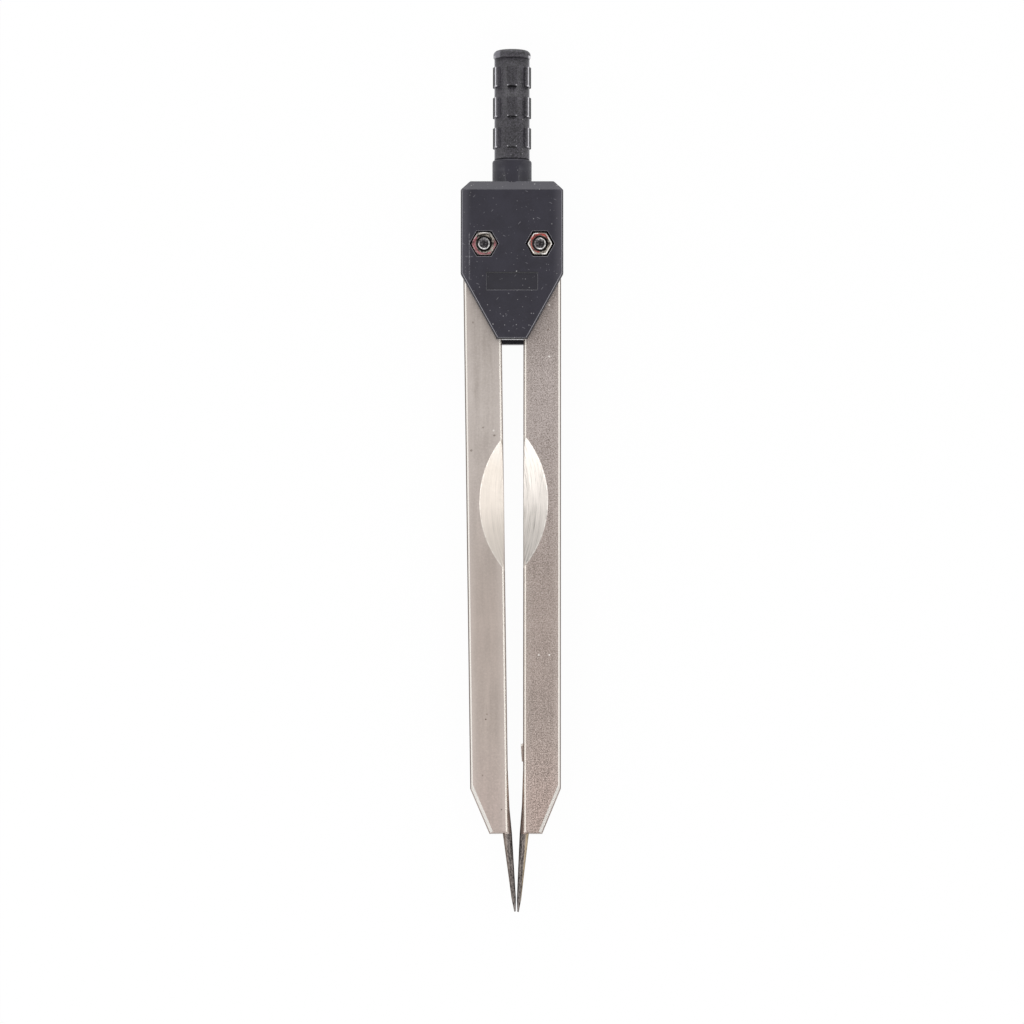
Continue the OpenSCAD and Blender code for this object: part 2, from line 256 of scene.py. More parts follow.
# %% Table and room
TABLE_SIZE = 4000
TABLE_WHITE = (0.95, 0.95, 0.95, 1)
TABLE_GLOW_SHARE = 0.96
ROOM_LIGHT = 0.62


def seen(graph):
    """1 for the camera and for mirrored or transmitted rays, 0 for the light on surfaces."""
    path = graph.node("ShaderNodeLightPath")
    either = path["Is Camera Ray"].most(path["Is Glossy Ray"])
    return either.most(path["Is Transmission Ray"])


table_finish = Finish("table_white")
table_finish.tree.nodes.clear()
lit = table_finish.node("ShaderNodeBsdfDiffuse", inputs={"Color": TABLE_WHITE})
glow = table_finish.node("ShaderNodeEmission", inputs={"Strength": 1})
both = table_finish.node("ShaderNodeMixShader", inputs={
    0: seen(table_finish) * TABLE_GLOW_SHARE, 1: lit, 2: glow})
table_finish.node("ShaderNodeOutputMaterial", inputs={"Surface": both})

half = TABLE_SIZE / 2 * MM
table_mesh = bpy.data.meshes.new("table")
table_mesh.from_pydata(
    [(-half, -half, low.z), (half, -half, low.z), (half, half, low.z), (-half, half, low.z)],
    [], [(0, 1, 2, 3)])
table_mesh.materials.append(table_finish.material)
table = bpy.data.objects.new("table", table_mesh)
bpy.context.scene.collection.objects.link(table)

room = bpy.data.worlds.new("room")
bpy.context.scene.world = room
room.use_nodes = True
room.node_tree.nodes.clear()
air = Graph(room.node_tree)
shade = air.node("ShaderNodeBackground", inputs={
    "Strength": seen(air) * (1 - ROOM_LIGHT) + ROOM_LIGHT})
air.node("ShaderNodeOutputWorld", inputs={"Surface": shade})
bpy.context.scene.view_settings.view_transform = "Standard"
print("table and room are white")

# %% Soft boxes
# Each box: the place of its middle, its width and height, and its brightness
BOXES = {
    "left_wall": ((-260, 0, 60), 240, 120, 1.0),
    "right_wall": ((260, 0, 60), 240, 120, 1.2),
    "grip_side": ((0, 260, 70), 300, 140, 2.4),
    "needle_side": ((0, -260, 110), 300, 100, 1.2),
    "ceiling": ((0, -260, 420), 520, 260, 0.9),
    "left_line": ((-260, 40, 145), 220, 50, 1.4),
    "left_roof": ((-170, -90, 245), 230, 90, 2.3),
    "right_roof": ((165, -75, 235), 260, 60, 2.3),
}

for name, (place, width, tall, brightness) in BOXES.items():
    box = bpy.data.lights.new("soft_box_" + name, "AREA")
    box.shape = "RECTANGLE"
    box.size = width * MM
    box.size_y = tall * MM
    # A flat lamp's radiance is its power over its area and pi
    box.energy = brightness * math.pi * box.size * box.size_y
    lamp = bpy.data.objects.new("soft_box_" + name, box)
    bpy.context.scene.collection.objects.link(lamp)
    lamp.location = Vector(place) * MM
    lamp.rotation_euler = (-lamp.location).to_track_quat("-Z", "Y").to_euler()
    print("soft box", name, "at brightness", brightness)

# %% [markdown]
# ## Yoke
# The yoke is one moulding: two walls and a top block, with the collar turned in one piece with it. A
# mould never leaves a knife edge, and it is the tiny rounds along the pockets, the panel and the slanted
# edges that catch the light. The CAD solid has sharp edges, so a copy of it is cleaned of its loose
# triangles and rounded with Bevel, and Weighted Normal keeps the broad faces flat.

# %% Rounded copies
FLAT_ANGLE = 1
SHARP_ANGLE = 28
PAD_SHARP_ANGLE = 40
ROUNDING_STEPS = 2
MOULD_ROUND, NUT_ROUND = 0.1, 0.07


def adopt(piece, body, slot, *nodes):
    """Puts a finished piece on its body in place of CAD nodes."""
    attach(piece, body)
    if nodes:
        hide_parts(*nodes)
    print(piece.name, "has", len(piece.data.polygons), "faces")


def settle(piece):
    """Turns a piece with its modifiers, Geometry Nodes among them, into a plain mesh."""
    finished = piece.evaluated_get(bpy.context.evaluated_depsgraph_get())
    mesh = bpy.data.meshes.new_from_object(finished)
    piece.modifiers.clear()
    piece.data = mesh
    return piece


def new_piece(name, mesh, finish):
    """A mesh as an object of its own, with its place in the mesh and one finish."""
    mesh.materials.clear()
    mesh.materials.append(finish.material)
    piece = bpy.data.objects.new(name, mesh)
    bpy.context.scene.collection.objects.link(piece)
    return piece


def whole_faces(node, share=lambda middle: 1):
    """A CAD node's mesh with its flat faces made whole and its sharp edges marked for rounding.
    share gives how much of the rounding's width an edge gets, from the edge's middle in millimetres."""
    form = bmesh.new()
    form.from_mesh(frame["nodes"][node].data)
    bmesh.ops.remove_doubles(form, verts=form.verts, dist=MM / 1000)
    bmesh.ops.dissolve_limit(
        form, angle_limit=math.radians(FLAT_ANGLE), verts=form.verts, edges=form.edges)
    weight = form.edges.layers.float.new("bevel_weight_edge")
    sharp = [edge for edge in form.edges if edge.calc_face_angle(0) > math.radians(SHARP_ANGLE)]
    for edge in sharp:
        edge[weight] = share((edge.verts[0].co + edge.verts[1].co) / 2 / MM)
    print(node, "has", len(sharp), "sharp edges")
    mesh = bpy.data.meshes.new(node + "_rounded")
    form.to_mesh(mesh)
    form.free()
    return mesh


def round_edges(piece, width, limit="WEIGHT"):
    """Rounds the marked edges, or with limit ANGLE the sharp ones, and keeps the broad faces flat."""
    bevel = piece.modifiers.new("round", "BEVEL")
    bevel.width = width * MM
    bevel.segments = ROUNDING_STEPS
    bevel.limit_method = limit
    bevel.angle_limit = math.radians(PAD_SHARP_ANGLE)
    bevel.use_clamp_overlap = False
    for polygon in piece.data.polygons:
        polygon.use_smooth = True
    piece.modifiers.new("flat_faces", "WEIGHTED_NORMAL").keep_sharp = True
    return settle(piece)


print("edges sharper than", SHARP_ANGLE, "degrees are rounded")

# %% [markdown]
# The plastic is a satin black with a trace of blue. Close up it carries what such a moulding picks up in
# a pencil case: white specks of dust and short straight scratches. Specks come from a Voronoi pattern
# that keeps one cell in a few. Scratches are specks on a flat pattern stretched along a line, so they lie
# in the two faces. The edges are painted paler, partly rubbed and partly a painted highlight, where the
# rounded rim leans a little away from the face; the rims that look toward the needles, away from the
# brighter lamps, get less of it, and the steep bevels get painted shade. The slope over the top gets a
# painted highlight and the faces a painted sheen toward both sides. The end faces toward the needles are
# glossier, and painted paler as a painted reflection.

# %% Marks
STROKE_STRETCH = 6


def specks(finish, vector, scale, size, share, flat=False):
    """Round specks of a size in millimetres, in a share of the cells of a pattern."""
    cells = finish.node("ShaderNodeTexVoronoi", {"voronoi_dimensions": "2D" if flat else "3D"}, {
        "Vector": vector, "Scale": scale, "Randomness": 1})
    chosen = finish.node("ShaderNodeSeparateColor", inputs={0: cells["Color"]})
    size_here = chosen["Green"] * size * scale
    kept = chosen["Red"].ramp(1 - share, 1 - share + 0.01)
    return (1 - (cells["Distance"] / size_here).ramp(0.5, 1)) * kept


def strokes(finish, vector, turn, scale, size, share):
    """Short straight scratches at an angle: specks stretched along a line."""
    turned = finish.node("ShaderNodeMapping", {"vector_type": "TEXTURE"}, {
        "Vector": vector, "Rotation": (0, 0, math.radians(turn)), "Scale": (1, STROKE_STRETCH, 1)})
    return specks(finish, turned, scale, size, share, flat=True)


def spot(x, y, at, size):
    """A round mark of a size at one place of a flat face."""
    away = ((x - at[0]) * (x - at[0]) + (y - at[1]) * (y - at[1])) ** 0.5
    return 1 - away.ramp(size * 0.5, size)


print("a scratch is", STROKE_STRETCH, "times as long as it is wide")

# %% Yoke plastic
PLASTIC_GLOSS = 0.45
COLLAR_L, COLLAR_R = 3.1, 2.63
YOKE_HALF_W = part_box("yoke")[1].x / MM
YOKE_FACE = high.z / MM
# Heights: the top of the walls, the foot of the slope over them, the panel and where the dust thins out
YOKE_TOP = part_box("yoke")[1].y / MM - COLLAR_L
BROW_FOOT = YOKE_TOP - 1.6
PANEL_LOW, PANEL_HIGH, PANEL_HALF_W = YOKE_TOP - 14.7, YOKE_TOP - 12.3, 3.4
DUSTY_BELOW, CLEAN_ABOVE = 20, 31
# The long rub: how far it lies to the left, and how far below the top of the walls
RUB_SIDE, RUB_FALL = 5.67, 10.2
print("the yoke's face is", round(2 * YOKE_HALF_W, 2), "mm wide")


def painted_edge_light(finish, colour, fine, y, walls):
    """Painted light on the edges: pale rims, partly rubbed and partly a painted highlight, painted shade on
    the bevels and a painted highlight on the slope over the top; the round collar has none of them.
    """
    facing, to_grip = finish.facing()
    leaning = to_grip / (1.001 - facing * facing) ** 0.5
    to_needles = (leaning * -1).ramp(0.6, 0.8)
    below_brow = 1 - leaning.ramp(0.6, 0.8) * y.ramp(BROW_FOOT, BROW_FOOT + 0.1)
    # Painted highlight on the rims, weaker on those that face the needles, away from the brighter lamps;
    # painted shade on the steep bevels, except those that face the grip's lamp; a painted highlight on the
    # slope over the top, which faces that lamp.
    rim = facing.ramp(0.85, 0.89) * (1 - facing.ramp(0.955, 0.985)) * (1 - to_needles * 0.6) * walls
    bevel = facing.ramp(0.5, 0.6) * (1 - facing.ramp(0.78, 0.83)) * (1 - to_grip.ramp(0.3, 0.5)) * walls
    brow_highlight = to_grip.ramp(0.5, 0.6) * facing.ramp(0.7, 0.75) * walls
    colour = finish.mix(rim * below_brow * (fine * 0.8 + 0.5), colour, tint(150, 148, 154))
    colour = finish.mix(bevel * 0.95, colour, tint(6, 6, 8))
    return finish.mix(brow_highlight * 0.3, colour, tint(90, 88, 96))


def panel_shade(x, y, z):
    """Painted shade on the sunk panel: a little inside, and most of all along its top line, where its upper
    wall is in shade.
    """
    front = z.ramp(YOKE_FACE - 0.5, YOKE_FACE - 0.4)
    front = front * (1 - abs(x).ramp(PANEL_HALF_W, PANEL_HALF_W + 0.06))
    inside = y.ramp(PANEL_LOW + 0.02, PANEL_LOW + 0.08) * (1 - y.ramp(PANEL_HIGH - 0.06, PANEL_HIGH))
    top_line = 1 - abs(y - PANEL_HIGH + 0.02).ramp(0.07, 0.15)
    return (inside * front * 0.3).most(top_line * front * 0.8)


def long_rub(x, y, z, fine):
    """One long rub with a tick across it, beside a nut."""
    along = abs((y - YOKE_TOP) + RUB_FALL)
    aside = abs(x + RUB_SIDE)
    rub = (1 - aside.ramp(0.04, 0.11)) * (1 - along.ramp(2.9, 3.3)) * fine.ramp(0.4, 0.6)
    tick = (1 - along.ramp(0.03, 0.1)) * (1 - aside.ramp(0.4, 0.6)) * fine.ramp(0.35, 0.55)
    return rub.most(tick) * z.ramp(YOKE_FACE - 0.2, YOKE_FACE - 0.1)


def yoke_plastic():
    finish = Finish("yoke_satin_black", Specular_IOR_Level=PLASTIC_GLOSS)
    point = finish.place()
    x, y, z = finish.split(point)
    facing, to_grip = finish.facing()
    walls = 1 - y.ramp(YOKE_TOP - 0.05, YOKE_TOP)

    # Plastic: slow clouds, a fine pebble, and a painted sheen that makes it paler toward both sides
    cloud = finish.grain(point, 0.5, detail=3)
    fine = finish.grain(point, 9)
    colour = finish.mix((cloud * 0.6 + fine * 0.4).ramp(0.3, 0.7), tint(25, 22, 34), tint(36, 34, 46))
    sides = abs(x).ramp(YOKE_HALF_W - 1.6, YOKE_HALF_W) * facing.ramp(0.5, 0.8) * walls
    colour = finish.mix(sides, colour, tint(66, 64, 72))
    colour = painted_edge_light(finish, colour, fine, y, walls)
    colour = finish.mix(panel_shade(x, y, z), colour, tint(12, 11, 15))

    # Dust, more of it toward the tail, and scratches on the two faces
    more = 1 - y.ramp(DUSTY_BELOW, CLEAN_ABOVE) * 0.65
    dust = specks(finish, point, 2.6, 0.1, 0.6)
    lint = specks(finish, point, 1.3, 0.14, 0.4)
    marks = strokes(finish, point, 64, 1.5, 0.06, 0.25)
    marks = marks.most(strokes(finish, point, -38, 1.3, 0.06, 0.25)) * facing.ramp(0.93, 0.97) * walls
    marks = (marks * 0.6).most(long_rub(x, y, z, fine) * 0.8)
    colour = finish.mix(dust * more * 0.8, colour, tint(150, 148, 152))
    colour = finish.mix(marks * 0.6, colour, tint(150, 148, 154))
    colour = finish.mix(lint * more, colour, tint(220, 218, 218))
    # The end faces toward the needles are glossier, and painted paler as a painted reflection
    end_face = (to_grip * -1).ramp(0.88, 0.95)
    colour = finish.mix(end_face * 0.4, colour, tint(176, 174, 180))
    finish.set(
        Base_Color=colour,
        Roughness=cloud * 0.1 + fine * 0.08 + 0.36 - end_face * 0.3,
        Normal=finish.bump(fine * 0.25 + cloud * 0.2 - marks * 0.5 + lint * 0.5, 0.015),
    )
    return finish


# %% Rounded yoke
def yoke_share(middle):
    """The shallow panel gets half the rounding, and the collar, which has its own, none."""
    out = (middle.x ** 2 + (middle.z - middle_height / MM) ** 2) ** 0.5
    collar = middle.y > YOKE_TOP - 0.05 and out < COLLAR_R + 0.07
    within = abs(middle.x) < PANEL_HALF_W + 0.05 and PANEL_LOW < middle.y < PANEL_HIGH
    panel = middle.z > YOKE_FACE - 0.2 and within
    return 0 if collar else 0.5 if panel else 1


yoke = new_piece("yoke_moulding", whole_faces("yoke", yoke_share), yoke_plastic())
yoke = round_edges(yoke, MOULD_ROUND)
adopt(yoke, "yoke", "yoke_plastic", "yoke")

# %% [markdown]
# ## Grip
# The grip is turned round an axis, so its body is a lathe profile, and eighteen equal pads stand on it in
# three rows of six. The pads are the part that repeats: one pad is modelled with rounded edges, and a
# small Geometry Nodes tree sets it round the axis row by row.

# %% Grip body
def lathe(profile, axis_origin, sides=96):
    """Turns a profile of (radius, height) points round an axis that runs along +Y."""
    form = bmesh.new()
    rings = []
    for radius, height in profile:
        turns = [2 * math.pi * i / sides for i in range(sides)] if radius > 0 else [0]
        rings.append([form.verts.new(axis_origin + Vector(
            (radius * math.sin(t), height, radius * math.cos(t))) * MM) for t in turns])
    for lower, upper in zip(rings, rings[1:]):
        for i in range(sides):
            j = (i + 1) % sides
            # At a pole two corners are the same point, which the face gets once
            corners = [ring[k % len(ring)] for ring, k in (
                (lower, i), (lower, j), (upper, j), (upper, i))]
            form.faces.new(list(dict.fromkeys(corners)))
    bmesh.ops.recalc_face_normals(form, faces=form.faces)
    mesh = bpy.data.meshes.new("turned")
    form.to_mesh(mesh)
    form.free()
    return mesh


grip_low, grip_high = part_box("grip")
STEM_L = 5.2
STEM_R = 1.5
CORE_R = 2.35
CAP_R = 2.5
CAP_H = 1.15
CAP_ROUND = 0.65
CAP_LIP = 0.25
ARC_STEPS = 6
grip_axis = Vector((0, grip_low.y + STEM_L * MM, middle_height))
GRIP_L = (grip_high.y - grip_low.y) / MM - STEM_L - CAP_H


def quarter(centre_r, centre_h, radius, start, end):
    """Points of a quarter round between two angles in degrees."""
    angles = [math.radians(start + (end - start) * i / ARC_STEPS) for i in range(ARC_STEPS + 1)]
    return [(centre_r + radius * math.cos(a), centre_h + radius * math.sin(a)) for a in angles]


grip_profile = [
    (0, -STEM_L), (STEM_R, -STEM_L), (STEM_R, 0), (CORE_R - 0.1, 0), (CORE_R, 0.1), (CORE_R, GRIP_L),
    *quarter(CAP_R - CAP_LIP, GRIP_L + CAP_LIP, CAP_LIP, -90, 0),
    *quarter(CAP_R - CAP_ROUND, GRIP_L + CAP_H - CAP_ROUND, CAP_ROUND, 0, 90),
    (0, GRIP_L + CAP_H),
]
print("the grip stands", round(GRIP_L + CAP_H, 2), "mm out of its collar")

# %% [markdown]
# The grip's plastic is black with a fine pale speckle. A noise between two tones gives it, because it
# needs no unwrapping and runs on over the pads. Light and shade are painted on it too: the pads to each
# side get a painted highlight along a line, with pale corners at their lower edges, and painted shade
# outside of the line, the gaps under the top pads get a painted shadow, the cap's lip and the body's side
# edges get painted highlights, and the left flank of the body is painted lighter against its shade.

# %% Grip plastic
PAD_START = 1.57
PAD_PITCH = 4.1
PADS_END = 12.6
# Where the painted highlight line on the side pads ends, from the axis
HIGHLIGHT_OUT = 2.3


def grip_painted_light(finish, colour, speckle, x, y, z):
    """Paints light and shade on the grip: a painted highlight along a line on the side pads, with pale
    corners at the pads' lower edges, and painted shade outside of the line; a painted shadow under the top
    pads, which are a little darker too; painted highlights on the cap's lip and along the body's side
    edges; and painted light on the body's left flank, against its shade."""
    out = (x * x + z * z) ** 0.5
    side = abs(x)
    top_pads = 1 - side.ramp(0.6, 0.72)
    below_cap = 1 - y.ramp(PADS_END, PADS_END + 0.2)
    pad = out.ramp(CORE_R + 0.08, CORE_R + 0.14) * below_cap
    above_edge = (y - PAD_START).math("FLOORED_MODULO", y - PAD_START, PAD_PITCH)
    corners = side.ramp(0.45, 0.55) * (1 - side.ramp(0.64, 0.7)) * 0.7 + side.ramp(1.95, 2.05)
    # Painted highlight: a line along the side pads, and pale corners at the pads' lower edges
    low_edge = (1 - above_edge.ramp(0.08, 0.16)) * corners * (1 - side.ramp(HIGHLIGHT_OUT, HIGHLIGHT_OUT + 0.06))
    line = side.ramp(HIGHLIGHT_OUT - 0.2, HIGHLIGHT_OUT - 0.14) * (1 - side.ramp(HIGHLIGHT_OUT - 0.06, HIGHLIGHT_OUT))
    wear_and_sheen = line.most(low_edge) * pad
    # Painted shadow in the gaps under the top pads; the top pads are a little darker too
    shadow = above_edge.ramp(PAD_PITCH - 0.24, PAD_PITCH - 0.18) * top_pads * below_cap
    colour = finish.mix((pad * top_pads * 0.25).most(shadow * 0.9), colour, tint(9, 9, 11))
    colour = finish.mix(wear_and_sheen * (speckle * 0.6 + 0.5), colour, tint(226, 224, 230))
    # Painted highlight on the cap's lip
    lip = y.ramp(GRIP_L + 0.02, GRIP_L + 0.08) * (1 - y.ramp(GRIP_L + 0.3, GRIP_L + 0.45))
    colour = finish.mix(lip * side.ramp(HIGHLIGHT_OUT - 0.2, HIGHLIGHT_OUT) * 0.9, colour, tint(220, 218, 224))
    # Painted shade outside of the line
    colour = finish.mix(pad * side.ramp(HIGHLIGHT_OUT, HIGHLIGHT_OUT + 0.08), colour, tint(4, 4, 5))
    # Painted light on the left flank, against its shade
    painted_flank_light = out.ramp(CORE_R, CORE_R + 0.03) * (1 - pad) * (1 - x.ramp(-1.7, -1.5))
    colour = finish.mix(painted_flank_light * 0.7, colour, tint(120, 118, 126))
    # Painted highlight along the body's side edges
    edge_glint = out.ramp(CORE_R - 0.02, CORE_R) * (1 - out.ramp(CORE_R + 0.02, CORE_R + 0.04))
    return finish.mix(edge_glint * side.ramp(HIGHLIGHT_OUT - 0.15, HIGHLIGHT_OUT) * 0.5, colour, tint(150, 148, 158))


def speckled_plastic():
    finish = Finish("grip_speckled_black", Specular_IOR_Level=PLASTIC_GLOSS)
    point = finish.place(tuple(grip_axis))
    x, y, z = finish.split(point)
    cloud = finish.grain(point, 0.6, detail=3)
    speckle = finish.grain(point, 4.5, detail=3, roughness=0.7)
    fine = finish.grain(point, 12)

    # The speckle shows more toward the right side
    strength = x.ramp(-1.5, 1.5) * 0.8 + 1.1
    shown = (speckle - 0.5) * strength + (fine - 0.5) * 0.5 + 0.5
    colour = finish.mix(shown.ramp(0.28, 0.72), tint(22, 21, 24), tint(72, 69, 76))
    colour = grip_painted_light(finish, colour, speckle, x, y, z)
    sand = specks(finish, point, 5, 0.06, 0.3)
    colour = finish.mix(sand * strength * 0.45, colour, tint(150, 148, 156))
    dust = specks(finish, point, 1.3, 0.12, 0.2)
    colour = finish.mix(dust * 0.7, colour, tint(176, 174, 176))
    finish.set(
        Base_Color=colour,
        Roughness=cloud * 0.12 + speckle * 0.12 + 0.34,
        Normal=finish.bump(speckle + fine * 0.5, 0.018),
    )
    return finish


grip_plastic = speckled_plastic()
grip_body = new_piece("grip_body", lathe(grip_profile, grip_axis), grip_plastic)
print("the grip's body has", len(grip_body.data.polygons), "faces")

# %% One pad
PAD_R = 2.66
PAD_SPAN = math.radians(33)
PAD_L = 2.65
PAD_STEPS = 8
PAD_ROOT_R = CORE_R - 0.2


def pad_mesh():
    """One curved pad about the axis, centred on +Z, its root inside the body."""
    form = bmesh.new()
    profile = (PAD_ROOT_R, 0), (PAD_R, 0), (PAD_R, PAD_L), (PAD_ROOT_R, PAD_L)
    rows = []
    for i in range(PAD_STEPS + 1):
        t = PAD_SPAN * (i / PAD_STEPS - 0.5)
        rows.append([form.verts.new(Vector((r * math.sin(t), h, r * math.cos(t))) * MM)
                     for r, h in profile])
    for near, far in zip(rows, rows[1:]):
        for i in range(4):
            form.faces.new((near[i], near[(i + 1) % 4], far[(i + 1) % 4], far[i]))
    form.faces.new(rows[0])
    form.faces.new(reversed(rows[-1]))
    bmesh.ops.recalc_face_normals(form, faces=form.faces)
    mesh = bpy.data.meshes.new("pad")
    form.to_mesh(mesh)
    form.free()
    return mesh


pads = round_edges(new_piece("grip_pads", pad_mesh(), grip_plastic), MOULD_ROUND, limit="ANGLE")
print("one pad has", len(pads.data.polygons), "faces")

# %% Geometry Nodes tools
class Recipe(Graph):
    """A Geometry Nodes tree with named inputs, which ends in one mesh of one finish."""

    def __init__(self, name, **inputs):
        super().__init__(bpy.data.node_groups.new(name, "GeometryNodeTree"))
        ends = self.tree.interface
        ends.new_socket("Geometry", in_out="INPUT", socket_type="NodeSocketGeometry")
        ends.new_socket("Geometry", in_out="OUTPUT", socket_type="NodeSocketGeometry")
        kinds = {int: "NodeSocketInt", float: "NodeSocketFloat"}
        self.values = inputs
        for label, value in inputs.items():
            ends.new_socket(label, in_out="INPUT", socket_type=kinds[type(value)])
        self.given = self.node("NodeGroupInput")

    def serve(self, geometry, finish):
        """Ends the tree: real geometry, one finish."""
        real = self.node("GeometryNodeRealizeInstances", inputs={0: geometry})
        made = self.node("GeometryNodeSetMaterial", inputs={
            "Geometry": real, "Material": finish.material})
        self.node("NodeGroupOutput", inputs={0: made})

    def cook(self, piece):
        """Runs the tree on a piece and leaves a plain mesh."""
        step = piece.modifiers.new(self.tree.name, "NODES")
        step.node_group = self.tree
        for item in self.tree.interface.items_tree:
            if item.in_out == "INPUT" and item.name in self.values:
                step[item.identifier] = self.values[item.name]
        return settle(piece)


# %% Rows of pads
pad_rows = Recipe("pad_rows", rows=3, round=6, start=PAD_START * MM, pitch=PAD_PITCH * MM)
number = pad_rows.node("GeometryNodeInputIndex")
per_row = pad_rows.given["round"]
row = (number / per_row).math("FLOOR", number / per_row)
turn = number * (2 * math.pi) / per_row
rise = row * pad_rows.given["pitch"] + pad_rows.given["start"]
spots = pad_rows.node("GeometryNodePoints", inputs={
    "Count": pad_rows.given["rows"] * per_row,
    "Position": pad_rows.node("ShaderNodeCombineXYZ", inputs={"Y": rise}),
})
placed = pad_rows.node("GeometryNodeInstanceOnPoints", inputs={
    "Points": spots, "Instance": pad_rows.given["Geometry"],
    "Rotation": pad_rows.node("ShaderNodeCombineXYZ", inputs={"Y": turn}),
})
moved = pad_rows.node("GeometryNodeTransform", inputs={
    "Geometry": placed, "Translation": tuple(grip_axis)})
pad_rows.serve(moved, grip_plastic)
pad_rows.cook(pads)
print("all pads have", len(pads.data.polygons), "faces")

# %% Whole grip
SMOOTH_BELOW = 35


def as_one_piece(name, finish, *pieces):
    """Several pieces as one new piece with one finish; the old ones go."""
    form = bmesh.new()
    for piece in pieces:
        form.from_mesh(piece.data)
        bpy.data.objects.remove(piece)
    mesh = bpy.data.meshes.new(name)
    form.to_mesh(mesh)
    form.free()
    for polygon in mesh.polygons:
        polygon.use_smooth = True
        polygon.material_index = 0
    mesh.set_sharp_from_angle(angle=math.radians(SMOOTH_BELOW))
    return new_piece(name, mesh, finish)


grip = as_one_piece("grip_moulding", grip_plastic, grip_body, pads)
adopt(grip, "yoke", "grip_plastic", "grip")

# %% [markdown]
# ## Legs
# The legs are bars of light metal with a fine satin skin, polished along the bevels, which a painted
# highlight makes brighter still, and a paler taper is painted as a highlight too. On the inner edge a
# cutter has taken out a shallow finger scallop, and its teeth left long flat arcs in it. The solids already
# have these shapes, so the CAD nodes stay and one material paints three surfaces, told apart by where they
# lie and which way they face. Light and shade are painted into it as well: a painted sheen toward the edges
# of the face, painted shade just below the yoke and on the left leg's outer side, a painted slope of light
# along the scallop and a painted highlight along its rim. The pattern is measured from the leg's own pivot,
# and the right leg's is mirrored. Each leg also carries its own few scars on its front, and the right one a
# staked burr that holds its needle.

# %% Leg sizes
SCALLOP_R = 13.7
SCALLOP_REACH = 3.3
PATH_EXTRA = 12
LEG_INNER = 2.19
LEG_OUTER = 2.84
LEG_L = 78.4
LIP_STARTS, LIP_WHOLE = LEG_L - 8.6, LEG_L - 7
PIVOTS = {joint["child"]: joint["pos_m"] for joint in frame["joints"]}
EDGE_TINT = (0.5, 0.46, 0.44, 1)
print("pivots at", {leg: round(place[0] / MM, 3) for leg, place in PIVOTS.items()}, "mm to the side")

# %% How the two legs differ
# flip -1 mirrors the pattern, and lean is how far the leg leans at rest, in degrees. The satin runs from
# top over centre to foot, with deep and pale marks in it, and grit and streaks are how strong it is.
# The inner and outer edge values are how pale a painted sheen makes the face toward its inner and outer
# edges, and the side value how dark painted shade makes the outer side. The milled values are the
# scallop's, its slope a painted slope of light along it. A scar is its place from the pivot, its size and
# its colour.
DARK_SCAR, GREY_SCAR, WHITE_SCAR = tint(70, 60, 54), tint(120, 108, 100), tint(240, 236, 230)
left_look = SimpleNamespace(
    flip=1, lean=0.8, scallop_drop=34.6,
    top=tint(204, 195, 189), centre=tint(186, 173, 165), foot=tint(190, 174, 167),
    deep=tint(150, 140, 133), pale=tint(214, 205, 199),
    grit=0.8, grit_scale=3.6, streaks=0.9, inner_edge_sheen=0.35, outer_edge_sheen=0.35, painted_side_shade=0.45,
    milled_dark=tint(192, 184, 175), milled_light=tint(218, 209, 200),
    milled_contrast=1.4, milled_light_slope=-0.04, milled_lines=0.15,
    scars=[
        ((-1.61, -10.37), 0.18, GREY_SCAR), ((-0.47, -24.41), 0.15, GREY_SCAR),
        ((1.04, -25.49), 0.2, GREY_SCAR), ((0.92, -24.83), 0.16, WHITE_SCAR),
        ((-2.07, -27.45), 0.2, GREY_SCAR), ((-0.48, -62.53), 0.13, GREY_SCAR),
        ((-0.64, -63.2), 0.13, DARK_SCAR), ((-1.17, -70.62), 0.16, GREY_SCAR),
        ((1.29, -75.15), 0.14, DARK_SCAR),
    ])
right_look = SimpleNamespace(
    flip=-1, lean=0.06, scallop_drop=34.2,
    top=tint(188, 177, 173), centre=tint(172, 158, 151), foot=tint(184, 164, 156),
    deep=tint(118, 108, 101), pale=tint(206, 196, 189),
    grit=4.4, grit_scale=6.4, streaks=0.5, inner_edge_sheen=0, outer_edge_sheen=0.2, painted_side_shade=0,
    milled_dark=tint(184, 178, 172), milled_light=tint(214, 208, 202),
    milled_contrast=2.2, milled_light_slope=0.01, milled_lines=0.6,
    scars=[
        ((-1.24, -8.05), 0.16, WHITE_SCAR), ((-1.24, -14.93), 0.16, WHITE_SCAR),
        ((-1.08, -11.33), 0.2, GREY_SCAR), ((0.12, -54.66), 0.14, WHITE_SCAR),
        ((-1.29, -54.65), 0.15, WHITE_SCAR), ((-1.16, -70.37), 0.15, DARK_SCAR),
        ((-2.51, -73.41), 0.15, DARK_SCAR), ((2.4, -66.2), 0.2, DARK_SCAR),
        ((2.4, -66.6), 0.25, WHITE_SCAR),
    ])
print("the legs carry", len(left_look.scars), "and", len(right_look.scars), "scars")


